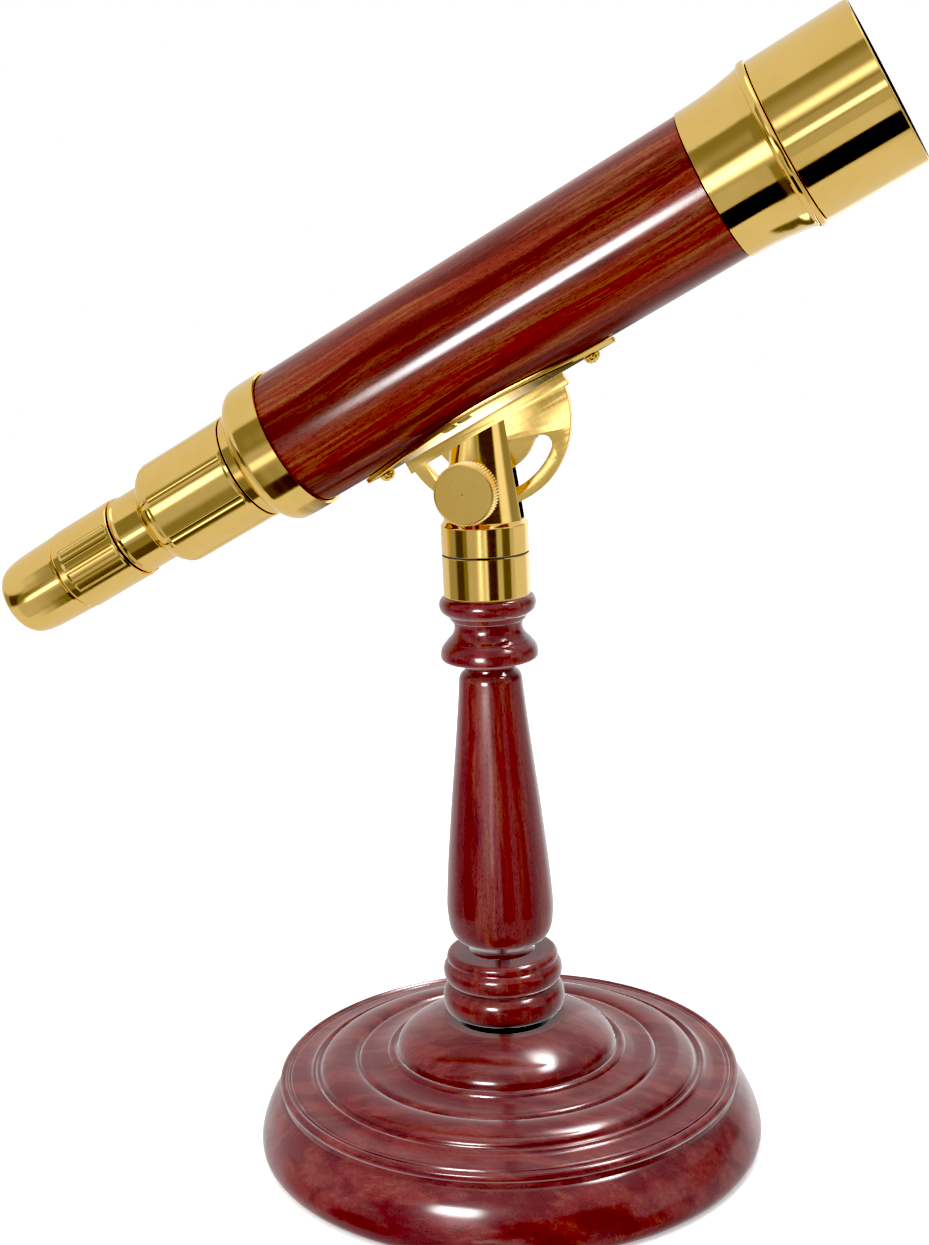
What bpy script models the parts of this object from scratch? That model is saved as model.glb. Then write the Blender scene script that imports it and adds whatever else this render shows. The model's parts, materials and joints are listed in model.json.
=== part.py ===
"""Brass and mahogany desk telescope on a turned pillar stand.

Frame: origin under the middle of the base, +Z up. The telescope lies in the XZ plane and points to +X.
Heights and radii in the tables are millimetres and are turned into metres where the meshes are made.
"""
import bpy
import bmesh
from math import acos, asin, cos, pi, radians, sin, sqrt

MM = 0.001
OBJECT = "desk_telescope"

# ---- driving dimensions, millimetres ----
GAP = 0.3                  # between pieces that touch
BASE_R = 100.0             # widest radius of the turned base
FELT_T = 1.5
DOME_Z = 51.0              # top of the base's dome, where the pillar stands
PILLAR_TOP = 221.5         # shoulder under the brass collar
COLLAR_R = 16.3
SEAM_Z = 237.5             # joint between the fixed collar and the turning head
SHOULDER_Z = 249.0         # top of the head's plain part
STEM_R_LOW = 15.1
STEM_R_TOP = 9.2
STEM_TOP = 292.0
SLIT_FLOOR = 250.4
SLIT_W = 4.6
SLANT_Z = 281.6            # height of the stem's slanted top on the pillar axis
SLANT = radians(27.5)

AXIS_Z = 319.1             # height where the tube's axis crosses the pillar's
ELEVATION = radians(27.4)  # tilt of the tube at rest
PIVOT_S = -13.6            # centre of the sector, along the tube from that crossing
PIVOT_T = 29.7             # and below the tube's axis
SECTOR_R = 32.7
SECTOR_T = 3.6
SLOT_R = 23.9
SLOT_W = 6.9
SLOT_FRONT = radians(40)   # slot end towards the objective, from straight down
PIN_ANGLE = radians(-21)   # guide pin, measured round the sector's centre
STUD_R = 3.0

WOOD_R = 26.75
WOOD_BORE = 23.4
WOOD_REAR = -90.0
WOOD_FRONT = 96.6
TUBE_R = 23.0
SADDLE_REAR = -65.0
SADDLE_FRONT = 42.5
SADDLE_T = 1.9
SADDLE_SPREAD = radians(26.5)
SADDLE_TIP = radians(6.5)
SCREWS_S = (-56.5, 32.5)
FOCUS_PIN_S = -116.0
FOCUS_TRAVEL = 6.0
ZOOM_PIN_S = -177.0
ZOOM_TRAVEL = 5.0

# steps round a turned piece
BIG = 36
MID = 28
SMALL = 20
TINY = 16

# ---- colours: base colour, roughness, metallic ----
FINISHES = {
    "brass": ((0.80, 0.60, 0.25, 1), 0.18, 1.0),
    "mahogany": ((0.22, 0.035, 0.025, 1), 0.22, 0.0),
    "steel": ((0.55, 0.55, 0.56, 1), 0.30, 1.0),
    "black_metal": ((0.02, 0.02, 0.022, 1), 0.60, 0.4),
    "glass": ((0.75, 0.82, 0.86, 0.35), 0.03, 0.0),
    "felt": ((0.03, 0.09, 0.05, 1), 0.95, 0.0),
}


def clear_scene():
    for obj in list(bpy.data.objects):
        bpy.data.objects.remove(obj, do_unlink=True)


def new_collection(name):
    coll = bpy.data.collections.new(name)
    bpy.context.scene.collection.children.link(coll)
    return coll


def finish_material(name, finish):
    colour, roughness, metallic = FINISHES[finish]
    mat = bpy.data.materials.new(name)
    mat.use_nodes = True
    shader = mat.node_tree.nodes["Principled BSDF"]
    shader.inputs["Base Color"].default_value = colour
    shader.inputs["Roughness"].default_value = roughness
    shader.inputs["Metallic"].default_value = metallic
    return mat


def arc(cz, cr, radius, start, end, count):
    """Points (z, r) on an arc about (cz, cr); angles in degrees, 0 along +z and 90 along +r."""
    steps = [radians(start + (end - start) * i / count) for i in range(count + 1)]
    return [(cz + radius * cos(a), cr + radius * sin(a)) for a in steps]


def place(obj, parent, location, rotation=(0, 0, 0)):
    obj.parent = parent
    obj.location = [v * MM for v in location]
    obj.rotation_euler = rotation


def new_object(name, data, finish, coll):
    obj = bpy.data.objects.new(name, data)
    coll.objects.link(obj)
    if finish:
        data.materials.append(finish_material(name, finish))
    return obj


def turned(name, profile, finish, steps, coll, closed=True):
    """Turn a profile of (z, r) points round the object's own Z axis.

    The points run down the outer side from the top and back up the bore. An open profile starts and
    ends on the axis and makes a solid piece.
    """
    mesh = bpy.data.meshes.new(name)
    verts = [(max(r, 0.0) * MM, 0.0, z * MM) for z, r in profile]
    edges = [(i, i + 1) for i in range(len(verts) - 1)]
    if closed:
        edges.append((len(verts) - 1, 0))
    mesh.from_pydata(verts, edges, [])
    obj = new_object(name, mesh, finish, coll)
    screw = obj.modifiers.new("turning", "SCREW")
    screw.axis = "Z"
    screw.angle = 2 * pi
    screw.steps = steps
    screw.render_steps = steps
    screw.use_merge_vertices = True
    screw.merge_threshold = 0.00001
    screw.use_smooth_shade = True
    return obj


def ring(name, low, high, bore, outer, finish, steps, coll):
    return turned(name, [(high, outer), (low, outer), (low, bore), (high, bore)], finish, steps, coll)


def cylinder(name, radius, length, finish, steps, coll):
    """A plain cylinder along its own Z, from 0 to its length."""
    mesh = bpy.data.meshes.new(name)
    bm = bmesh.new()
    bmesh.ops.create_cone(bm, cap_ends=True, segments=steps, radius1=radius * MM,
                          radius2=radius * MM, depth=length * MM)
    bmesh.ops.translate(bm, verts=bm.verts, vec=(0, 0, length * MM / 2))
    bm.to_mesh(mesh)
    bm.free()
    return new_object(name, mesh, finish, coll)


def block(name, size, coll):
    mesh = bpy.data.meshes.new(name)
    bm = bmesh.new()
    bmesh.ops.create_cube(bm, size=1.0)
    bmesh.ops.scale(bm, verts=bm.verts, vec=[v * MM for v in size])
    bm.to_mesh(mesh)
    bm.free()
    return new_object(name, mesh, None, coll)


def cut(obj, cutter):
    cutter.hide_render = True
    cutter.display_type = "WIRE"
    mod = obj.modifiers.new("cut_" + cutter.name, "BOOLEAN")
    mod.operation = "DIFFERENCE"
    mod.solver = "EXACT"
    mod.object = cutter


def lens(name, rear, front, radius, rear_sag, front_sag, finish, coll, steps=SMALL):
    """A lens turned about Z. Its rim runs from rear to front; a sag above 0 bulges outwards."""
    def face(sag, at, side):
        bend = (radius ** 2 + sag ** 2) / (2 * abs(sag))
        points = []
        for i in range(4):
            r = radius * i / 3
            drop = sag - (bend - sqrt(bend ** 2 - r ** 2)) * (1 if sag > 0 else -1)
            points.append((at + side * drop, r))
        return points
    profile = face(front_sag, front, 1) + face(rear_sag, rear, -1)[::-1]
    return turned(name, profile, finish, steps, coll, closed=False)


# ---- the stand ----
def base_profile():
    """Underside, rounded foot, cove, rim bead, grooved steps and dome of the base."""
    under = FELT_T + GAP
    foot = [(24.6, 90.3), (22.2, 93.2), (17.5, 96.9), (11.5, 99.3), (6.0, BASE_R), (3.2, 99.6), (under, 98.8)]
    rim = [(30.3, 88.0), (30.4, 89.6), (29.0, 91.2), (27.2, 91.0)]
    steps = [(30.9, 79.4), (32.4, 77.6), (31.3, 75.7), (33.2, 74.2), (35.2, 71.2), (36.3, 65.0), (34.8, 59.4)]
    cove = [(36.3, 57.6), (36.8, 52.4), (39.3, 46.9), (38.9, 43.8)]
    height = 14.4
    dome = [(39.2 + height * cos(a), 43.4 * sin(a)) for a in
            (radians(35), radians(50), radians(65), radians(80))]
    top = [(DOME_Z, 24.4)]
    bore = [(DOME_Z - 13.0, 11.5), (DOME_Z - 13.0, 3.6), (13.0, 3.6), (13.0, 9.5), (under, 9.5)]
    outer = top + dome + cove[::-1] + steps[::-1] + rim + foot
    return outer + bore[::-1] + [(DOME_Z, 11.5)]


def make_base(coll):
    base = turned("base", base_profile(), "mahogany", BIG, coll)
    felt = cylinder("base_felt", 95.0, FELT_T, "felt", BIG, coll)
    bolt = turned("tie_bolt", [(112.0, 0.0), (110.0, 3.0), (12.0, 3.0), (11.0, 5.5), (6.5, 6.5),
                               (6.5, 0.0)], "steel", TINY, coll, closed=False)
    washer = ring("tie_washer", 12.3 - 1.0 + GAP, 13.0 - GAP, 6.2, 9.0, "steel", TINY, coll)
    return [base, felt, bolt, washer]


def pillar_profile():
    """Baluster from its tenon in the base, up through the beads and the taper, to the collar's tenon."""
    foot = DOME_Z + GAP
    lower = [(foot, 19.6), (54.2, 19.6), (54.9, 22.4), (57.6, 23.8), (61.8, 23.9), (64.6, 22.6),
             (66.2, 20.3), (67.8, 22.4), (71.2, 23.4), (75.0, 22.2), (78.8, 20.6), (79.2, 12.4),
             (83.0, 14.8), (86.6, 17.5)]
    shaft = [(91.2, 19.8), (97.0, 20.7), (116.0, 19.7), (142.0, 17.0), (171.0, 13.7), (190.0, 11.8)]
    upper = [(193.2, 9.5), (195.8, 10.8), (196.8, 16.4), (200.0, 18.4), (204.4, 16.2), (209.6, 12.7),
             (213.4, 14.4), (218.0, 18.1), (PILLAR_TOP, 16.4)]
    outer = lower + shaft + upper
    tenon_top = [(229.0, 9.0), (229.0, 12.6), (PILLAR_TOP, 12.6)]
    recess = [(224.0, 0.0), (224.0, 9.0)]
    tenon_foot = [(foot, 11.2), (38.6, 11.2), (38.6, 3.4), (114.0, 3.4), (114.0, 0.0)]
    return recess + tenon_top + outer[::-1] + tenon_foot


def make_pillar(coll):
    pillar = turned("pillar", pillar_profile(), "mahogany", MID, coll, closed=False)
    collar = turned("socket_collar", [(SEAM_Z - 0.2, COLLAR_R), (PILLAR_TOP + GAP, COLLAR_R),
                                      (PILLAR_TOP + GAP, 13.0), (230.0, 13.0), (230.0, 4.4),
                                      (SEAM_Z - 0.2, 4.4)], "brass", MID, coll)
    return [pillar, collar]


# ---- the turning head ----
def pivot_xz():
    """Centre of the sector in world X and Z, millimetres."""
    x = PIVOT_S * cos(ELEVATION) + PIVOT_T * sin(ELEVATION)
    z = AXIS_Z + PIVOT_S * sin(ELEVATION) - PIVOT_T * cos(ELEVATION)
    return x, z


def clamp_z():
    """Height of the clamp stud: on the pillar axis and in the middle of the curved slot."""
    x, z = pivot_xz()
    return z - sqrt(SLOT_R ** 2 - x ** 2)


def cross_cutter(name, radius, x, z, y_from, y_to, coll):
    """Cylinder along Y for a cross hole; its end at y_to may be open or blind."""
    cutter = cylinder(name, radius, y_to - y_from, None, TINY, coll)
    place(cutter, None, (x, y_from, z), (-pi / 2, 0, 0))
    return cutter


def make_yoke(coll, cutters):
    bottom = SEAM_Z + 0.3
    profile = [(STEM_TOP, STEM_R_TOP), (SHOULDER_Z + 0.9, STEM_R_LOW), (SHOULDER_Z, COLLAR_R - 0.5),
               (SHOULDER_Z - 0.5, COLLAR_R), (bottom, COLLAR_R), (bottom, 4.3), (247.4, 4.3),
               (247.4, 0.0)]
    yoke = turned("yoke", [(STEM_TOP, 0.0)] + profile, "brass", MID, coll, closed=False)
    slit = block("slit", (60.0, SLIT_W, 60.0), cutters)
    place(slit, None, (0, 0, SLIT_FLOOR + 30.0))
    slant = block("slant", (80.0, 60.0, 40.0), cutters)
    place(slant, None, (-20.0 * sin(SLANT), 0, SLANT_Z + 20.0 * cos(SLANT)), (0, -SLANT, 0))
    z = clamp_z()
    hole = cross_cutter("stud_hole", STUD_R + GAP, 0, z, -30.0, 30.0, cutters)
    face = cross_cutter("spot_face", 6.4, 0, z, -30.0, -12.6, cutters)
    px, pz = pin_xz()
    pin_hole = cross_cutter("pin_hole", STUD_R + GAP, px, pz, -7.6, 30.0, cutters)
    for cutter in (slit, slant, hole, face, pin_hole):
        cut(yoke, cutter)
    return yoke


def pin_xz():
    x, z = pivot_xz()
    return x + SLOT_R * sin(PIN_ANGLE), z - SLOT_R * cos(PIN_ANGLE)


def make_head(coll, cutters, axis):
    yoke = make_yoke(coll, cutters)
    bolt = turned("azimuth_bolt", [(247.0, 0.0), (246.4, 4.0), (228.1, 4.0), (228.1, 7.0),
                                   (224.6, 7.0), (224.6, 0.0)], "steel", TINY, coll, closed=False)
    washer = ring("spring_washer", 228.4, 229.7, 4.4, 8.0, "steel", TINY, coll)
    for obj in (yoke, bolt, washer):
        obj.parent = axis
    px, pz = pin_xz()
    pin = cylinder("guide_pin", STUD_R, 17.2, "steel", TINY, coll)
    place(pin, axis, (px, -7.2, pz), (-pi / 2, 0, 0))
    return [yoke, bolt, washer, pin]


def make_clamp(coll, axis):
    """Knob, stud and washer, turned about the stud's axis; local z runs into the yoke."""
    knob = turned("clamp_knob", [(-23.0, 0.0), (-23.0, 3.3), (-14.2, 3.3), (-14.2, 5.4), (-18.4, 5.4),
                                 (-18.4, 10.6), (-19.2, 11.4), (-26.2, 11.4), (-27.0, 10.7), (-27.0, 1.3),
                                 (-26.3, 0.0)], "brass", MID, coll, closed=False)
    stud = cylinder("clamp_stud", STUD_R, 35.2, "steel", TINY, coll)
    washer = ring("clamp_washer", -13.9, -12.9, 3.3, 6.0, "brass", TINY, coll)
    place(stud, axis, (0, 0, -22.7))
    for obj in (knob, washer):
        place(obj, axis, (0, 0, 0))
    return [knob, stud, washer]


# ---- the telescope: local z is s, along the tube; local x is t, straight down from it ----
def sector_outline():
    """Half moon (t, s): a straight root bar, then the rim."""
    root_low = 29.25
    root_high = PIVOT_T + 4.0
    half = 34.1
    edge = asin((root_high - PIVOT_T) / SECTOR_R)
    rim = []
    for i in range(25):
        a = pi / 2 - edge - (pi - 2 * edge) * i / 24
        rim.append((PIVOT_T + SECTOR_R * cos(a), PIVOT_S + SECTOR_R * sin(a)))
    return [(root_low, PIVOT_S - half), (root_low, PIVOT_S + half), (root_high, PIVOT_S + half)] \
        + rim + [(root_high, PIVOT_S - half)]


def slot_outline():
    """Curved slot (t, s): a round end to the front and a flat end under the root bar."""
    inner = SLOT_R - SLOT_W / 2
    outer = SLOT_R + SLOT_W / 2
    flat = 3.5
    points = []
    for radius, sign in ((outer, 1), (inner, -1)):
        rear = -acos(flat / radius)
        span = [rear + (SLOT_FRONT - rear) * i / 12 for i in range(13)]
        points += [(PIVOT_T + radius * cos(a), PIVOT_S + radius * sin(a)) for a in span[::sign]]
        if sign == 1:
            end_t = PIVOT_T + SLOT_R * cos(SLOT_FRONT)
            end_s = PIVOT_S + SLOT_R * sin(SLOT_FRONT)
            for i in range(1, 6):
                a = SLOT_FRONT + pi * i / 6
                points.append((end_t + SLOT_W / 2 * cos(a), end_s + SLOT_W / 2 * sin(a)))
    return points


def flat_plate(name, outlines, thickness, finish, coll):
    """A plate from closed outlines; the inner ones are holes."""
    curve = bpy.data.curves.new(name, "CURVE")
    curve.dimensions = "2D"
    curve.fill_mode = "BOTH"
    curve.extrude = thickness * MM / 2
    for outline in outlines:
        spline = curve.splines.new("POLY")
        spline.points.add(len(outline) - 1)
        for point, (t, s) in zip(spline.points, outline):
            point.co = (t * MM, s * MM, 0, 1)
        spline.use_cyclic_u = True
    return new_object(name, curve, finish, coll)


def radial_cutter(name, radius, s, low, high, coll):
    """Cylinder along local x, from radius low to high under the tube's axis."""
    cutter = cylinder(name, radius, high - low, None, TINY, coll)
    return cutter, (low, 0, s), (0, pi / 2, 0)


def make_saddle(coll):
    """Leaf-shaped plate bent round the tube."""
    mesh = bpy.data.meshes.new("saddle_plate")
    bm = bmesh.new()
    bmesh.ops.create_grid(bm, x_segments=16, y_segments=8, size=1.0)
    middle = (SADDLE_REAR + SADDLE_FRONT) / 2
    half = (SADDLE_FRONT - SADDLE_REAR) / 2
    radius = WOOD_R + GAP
    for vert in bm.verts:
        u, v = vert.co.x, vert.co.y
        u = sin(u * pi / 2)
        blunt = SADDLE_TIP * sqrt(max(0.0, 1 - u ** 8))
        spread = blunt + (SADDLE_SPREAD - SADDLE_TIP) * (1 - u * u) ** 1.1
        angle = v * max(spread, radians(2.0))
        vert.co = (radius * cos(angle) * MM, radius * sin(angle) * MM, (middle + half * u) * MM)
    bm.normal_update()
    bm.to_mesh(mesh)
    bm.free()
    obj = new_object("saddle_plate", mesh, "brass", coll)
    shell = obj.modifiers.new("plate", "SOLIDIFY")
    shell.thickness = SADDLE_T * MM
    shell.offset = 1.0 if mesh.polygons[0].normal.x > 0 else -1.0
    return obj


def make_saddle_screw(name, coll):
    """Round-headed screw; z 0 is under its head, the shank points up."""
    dome = arc(-0.2, 0.0, 3.1, 90, 180, 3)
    profile = [(8.2, 0.0), (8.2, 1.6), (0.0, 1.6), (0.0, 3.1)] + dome[1:-1] + [(-2.9, 0.0)]
    return turned(name, profile, "brass", TINY, coll, closed=False)


def make_body_parts(coll):
    """Turned pieces of the tube that don't move on it."""
    rear_round = arc(-93.2, 22.5, 5.65, 90, 175, 4)
    parts = [
        ring("wood_tube", WOOD_REAR, WOOD_FRONT, WOOD_BORE, WOOD_R, "mahogany", BIG, coll),
        ring("main_tube", -97.0, 106.0, 21.8, TUBE_R, "black_metal", MID, coll),
        turned("rear_ring", [(-80.9, 28.15)] + rear_round + [(-99.4, 21.3), (-103.0, 21.3), (-103.0, 19.3),
                             (-97.3, 19.3), (-97.3, 23.3), (-90.3, 23.3), (-90.3, 27.05),
                             (-80.9, 27.05)], "brass", BIG, coll),
        turned("objective_bell", [(131.5, 28.2), (124.3, 28.2), (124.0, 30.1), (122.6, 30.5), (121.2, 30.1),
                                  (120.6, 29.3), (112.5, 28.2), (104.0, 27.4), (96.9, 27.35), (96.9, 23.3),
                                  (106.3, 23.3), (106.3, 22.0), (108.5, 22.0), (108.5, 26.9),
                                  (131.5, 26.9)], "brass", BIG, coll),
        turned("hood", [(161.0, 29.1), (160.5, 29.6), (124.6, 29.6), (124.6, 28.6), (132.0, 28.6),
                        (132.0, 28.3), (161.0, 28.3)], "brass", BIG, coll),
        turned("objective_cell", [(130.0, 26.6), (109.0, 26.6), (109.0, 24.0), (111.0, 24.0), (111.0, 25.3),
                                  (130.0, 25.3)], "black_metal", MID, coll),
        lens("flint_lens", 111.3, 116.0, 25.0, 1.0, -3.3, "glass", coll),
        ring("lens_spacer", 116.3, 117.1, 24.0, 25.0, "black_metal", SMALL, coll),
        lens("crown_lens", 117.7, 119.5, 25.0, 3.3, 2.4, "glass", coll),
        ring("objective_retainer", 120.0, 122.0, 24.0, 25.0, "black_metal", SMALL, coll),
        turned("barrel_core", [(-94.0, 21.5), (-97.0, 21.5), (-97.0, 19.0), (-143.2, 19.0), (-143.2, 16.9),
                               (-94.0, 16.9)], "black_metal", MID, coll),
        turned("eyepiece_barrel", [(-137.0, 16.5), (-148.0, 16.5), (-148.5, 15.85), (-160.4, 15.85),
                                   (-161.4, 16.4), (-162.7, 16.1), (-162.7, 14.5), (-137.0, 14.5)],
               "brass", MID, coll),
        turned("eyepiece_core", [(-140.0, 14.2), (-203.0, 14.2), (-203.0, 9.6), (-201.0, 9.6),
                                 (-201.0, 12.7), (-151.3, 12.7), (-151.3, 11.6), (-149.3, 11.6),
                                 (-149.3, 12.7), (-140.0, 12.7)], "black_metal", SMALL, coll),
        lens("field_lens", -149.0, -145.6, 12.4, -0.9, 1.4, "glass", coll),
        ring("field_stop", -143.8, -142.3, 9.8, 12.4, "black_metal", SMALL, coll),
        lens("eye_lens", -200.2, -197.9, 12.4, 1.2, 1.6, "glass", coll),
        ring("eye_lens_retainer", -197.2, -195.2, 10.9, 12.4, "black_metal", SMALL, coll),
        turned("eyecup", [(-192.2, 16.2), (-192.8, 16.45), (-211.0, 16.0), (-216.5, 15.4), (-219.5, 14.4),
                          (-221.5, 12.8), (-222.3, 11.2), (-208.0, 9.9), (-203.3, 9.9), (-203.3, 14.5),
                          (-192.2, 14.5)], "brass", MID, coll),
    ]
    for name, s, opening in (("baffle_front", 60.0, 17.0), ("baffle_rear", 0.0, 13.0)):
        parts.append(turned(name, [(s + 6.0, 21.5), (s, 21.5), (s, opening), (s + 1.0, opening),
                                   (s + 1.0, 20.6), (s + 6.0, 20.6)], "black_metal", SMALL, coll))
    return parts


def make_focus_parts(coll):
    ring_piece = turned("focus_ring", [(-103.3, 21.3), (-103.9, 21.65), (-140.3, 21.65), (-143.8, 20.5),
                                       (-146.4, 18.1), (-147.4, 16.8), (-143.5, 16.8), (-143.5, 19.3),
                                       (-125.0, 19.3), (-125.0, 20.8), (-107.0, 20.8), (-107.0, 19.3),
                                       (-103.3, 19.3)], "brass", MID, coll)
    carriage = turned("focus_carriage", [(-72.0, 16.5), (-128.0, 16.5), (-128.0, 15.1), (-119.5, 15.1),
                                         (-119.5, 13.6), (-80.5, 13.6), (-80.5, 15.1), (-72.0, 15.1)],
                      "black_metal", SMALL, coll)
    pin = cylinder("focus_pin", 1.5, 6.4, "steel", TINY, coll)
    front = lens("erector_lens_front", -80.2, -77.0, 14.8, 1.5, 1.8, "glass", coll)
    rear = lens("erector_lens_rear", -123.0, -119.8, 14.8, 1.8, 1.5, "glass", coll)
    front_ring = ring("erector_retainer_front", -76.4, -74.4, 13.4, 14.8, "black_metal", SMALL, coll)
    rear_ring = ring("erector_retainer_rear", -125.7, -123.7, 13.4, 14.8, "black_metal", SMALL, coll)
    return [ring_piece], [carriage, pin, front, rear, front_ring, rear_ring]


def make_zoom_parts(coll):
    ring_piece = turned("zoom_ring", [(-163.0, 16.4), (-163.6, 16.85), (-191.3, 16.85), (-191.9, 16.4),
                                      (-191.9, 14.5), (-185.0, 14.5), (-185.0, 15.9), (-169.0, 15.9),
                                      (-169.0, 14.5), (-163.0, 14.5)], "brass", MID, coll)
    carriage = turned("zoom_carriage", [(-160.0, 12.4), (-186.0, 12.4), (-186.0, 10.0), (-168.3, 10.0),
                                        (-168.3, 11.1), (-160.0, 11.1)], "black_metal", SMALL, coll)
    pin = cylinder("zoom_pin", 1.3, 5.1, "steel", TINY, coll)
    glass = lens("zoom_lens", -168.0, -165.4, 10.8, -0.8, -1.2, "glass", coll)
    keeper = ring("zoom_lens_retainer", -165.1, -163.5, 9.5, 10.8, "black_metal", SMALL, coll)
    return [ring_piece], [carriage, pin, glass, keeper]


def make_guided(carriage, sleeve, pin, pin_s, travel, pin_r, cutters):
    """Pin hole in a carriage and the straight slot for the pin in the sleeve round it."""
    hole, at, turn = radial_cutter(pin.name + "_hole", pin_r + GAP, pin_s, 2.0, 40.0, cutters)
    place(hole, carriage.parent, (at[0] + carriage.location.x / MM, 0, at[2] + carriage.location.z / MM), turn)
    cut(carriage, hole)
    length = 2 * (travel + pin_r + 2 * GAP)
    slot = block(pin.name + "_slot", (40.0, 2 * pin_r + 2 * GAP, length), cutters)
    place(slot, sleeve.parent, (22.0 + sleeve.location.x / MM, 0, pin_s + sleeve.location.z / MM))
    cut(sleeve, slot)


def main():
    clear_scene()
    coll = new_collection(OBJECT)
    cutters = new_collection("cutters")

    def empty(name, parent, location, rotation=(0, 0, 0)):
        obj = bpy.data.objects.new(name, None)
        coll.objects.link(obj)
        place(obj, parent, location, rotation)
        return obj

    make_base(coll)
    make_pillar(coll)
    azimuth = empty("azimuth_axis", None, (0, 0, 0))
    make_head(coll, cutters, azimuth)
    clamp_axis = empty("clamp_axis", azimuth, (0, 0, clamp_z()), (-pi / 2, 0, 0))
    make_clamp(coll, clamp_axis)

    pivot_x, pivot_z = pivot_xz()
    tilt = empty("tilt_axis", azimuth, (pivot_x, 0, pivot_z), (0, pi / 2 - ELEVATION, 0))
    on_axis = (-PIVOT_T, 0, -PIVOT_S)
    fixed = make_body_parts(coll)
    focus_ring, focus_slide = make_focus_parts(coll)
    zoom_ring, zoom_slide = make_zoom_parts(coll)
    saddle = make_saddle(coll)
    for obj in fixed + focus_ring + focus_slide + zoom_ring + zoom_slide + [saddle]:
        place(obj, tilt, on_axis)
    sector = flat_plate("sector_plate", [sector_outline(), slot_outline()], SECTOR_T, "brass", coll)
    place(sector, tilt, on_axis, (pi / 2, 0, 0))
    by_name = {obj.name: obj for obj in fixed + focus_slide + zoom_slide}
    pins = ((by_name["focus_pin"], 14.0, FOCUS_PIN_S), (by_name["zoom_pin"], 10.4, ZOOM_PIN_S))
    for pin, low, s in pins:
        place(pin, tilt, (low - PIVOT_T, 0, s - PIVOT_S), (0, pi / 2, 0))
    for index, s in enumerate(SCREWS_S):
        name = ("saddle_screw_rear", "saddle_screw_front")[index]
        screw = make_saddle_screw(name, coll)
        place(screw, tilt, (29.25 - PIVOT_T, 0, s - PIVOT_S), (0, -pi / 2, 0))
        hole, at, turn = radial_cutter(name + "_hole", 1.9, s, 10.0, 40.0, cutters)
        place(hole, tilt, (at[0] - PIVOT_T, 0, at[2] - PIVOT_S), turn)
        for obj in (saddle, by_name["wood_tube"], by_name["main_tube"]):
            cut(obj, hole)
    make_guided(by_name["focus_carriage"], by_name["barrel_core"], by_name["focus_pin"], FOCUS_PIN_S,
                FOCUS_TRAVEL, 1.5, cutters)
    make_guided(by_name["zoom_carriage"], by_name["eyepiece_core"], by_name["zoom_pin"], ZOOM_PIN_S,
                ZOOM_TRAVEL, 1.3, cutters)


main()
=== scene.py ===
"""Looks for the brass and mahogany desk telescope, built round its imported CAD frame.

Lengths in the tables are millimetres. A turned piece is drawn as (z, r) points, where z runs along its
own axis: up the pillar for the stand, and towards the objective for the telescope.
"""
import json
from math import acos, asin, cos, hypot, pi, radians, sin, sqrt

import bmesh
import bpy
from mathutils import Matrix, Vector


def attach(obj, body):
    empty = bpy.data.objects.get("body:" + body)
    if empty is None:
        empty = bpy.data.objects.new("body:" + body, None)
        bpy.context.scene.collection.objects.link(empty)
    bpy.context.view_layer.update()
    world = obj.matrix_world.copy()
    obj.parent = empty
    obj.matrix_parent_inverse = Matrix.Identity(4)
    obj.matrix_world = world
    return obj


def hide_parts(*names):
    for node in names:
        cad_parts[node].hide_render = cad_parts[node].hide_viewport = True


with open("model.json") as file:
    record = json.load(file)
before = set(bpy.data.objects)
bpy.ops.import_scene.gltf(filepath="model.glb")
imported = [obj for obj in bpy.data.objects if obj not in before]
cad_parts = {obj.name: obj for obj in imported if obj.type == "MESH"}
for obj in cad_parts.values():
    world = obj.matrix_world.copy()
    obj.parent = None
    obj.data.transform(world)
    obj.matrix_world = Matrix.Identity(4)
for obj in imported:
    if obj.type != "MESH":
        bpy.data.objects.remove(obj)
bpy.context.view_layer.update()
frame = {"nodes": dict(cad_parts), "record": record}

MM = 0.001
ELEVATION = radians(27.4)  # of the tube, at rest
AXIS_Z = 319.1             # height where the tube's axis crosses the pillar's
PIVOT_S = -13.6            # centre of the tilt, along the tube
PIVOT_T = 29.7             # centre of the tilt, below the tube's axis
SECTOR_R = 32.7            # half-moon plate
SECTOR_T = 3.6
SLOT_R = 23.9              # middle of the plate's curved slot
SLOT_W = 6.9
SLOT_FRONT = radians(40)
PIN_ANGLE = radians(-21)   # guide pin, from straight below the centre of the tilt
STUD_R = 3.0
SLANT = radians(27.5)      # cut across the yoke's top
SLANT_Z = 281.6
SLIT_W = 4.6               # the yoke's slit, which holds the plate
SLIT_FLOOR = 250.4
SEAM_Z = 237.55            # middle of the gap between the collar and the yoke
KNURLS = 60                # teeth round the clamp knob
KNURL_DEPTH = 0.8
KNURL_ROOT = 11.2          # the knob is plain inside this radius
WOOD_R = 26.75
HOOD_BORE = 28.9           # the hood is black inside this radius
SADDLE_REAR = -65.0
SADDLE_FRONT = 42.5
SADDLE_T = 1.9
SADDLE_TIP = 6.5           # half the angle that the saddle spans at its tips
SADDLE_SPREAD = 26.5       # half the angle that it spans in the middle
FLUTES = 8                 # on the focus ring
FLUTE_PHASE = radians(-107.3)
FLUTE_WIDTH = 2.9 / 21.6   # as an angle
FLUTE_DEPTH = 0.75
FLUTE_FRONT = -104.3
PANEL_REAR = -141.5        # the flattened panels of the focus ring end here
PANEL_DEPTH = 0.22
GRIP_GROUPS = 3            # groups of flutes on the zoom ring
GRIP_PHASE = radians(-88.5)
GRIP_PITCH = radians(17.0)
GRIP_HALF = radians(6.4)
GRIP_DEPTH = 0.5
GRIP_REAR = -188.4
GRIP_FRONT = -164.3
BLACK_POINT = 0.06

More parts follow.
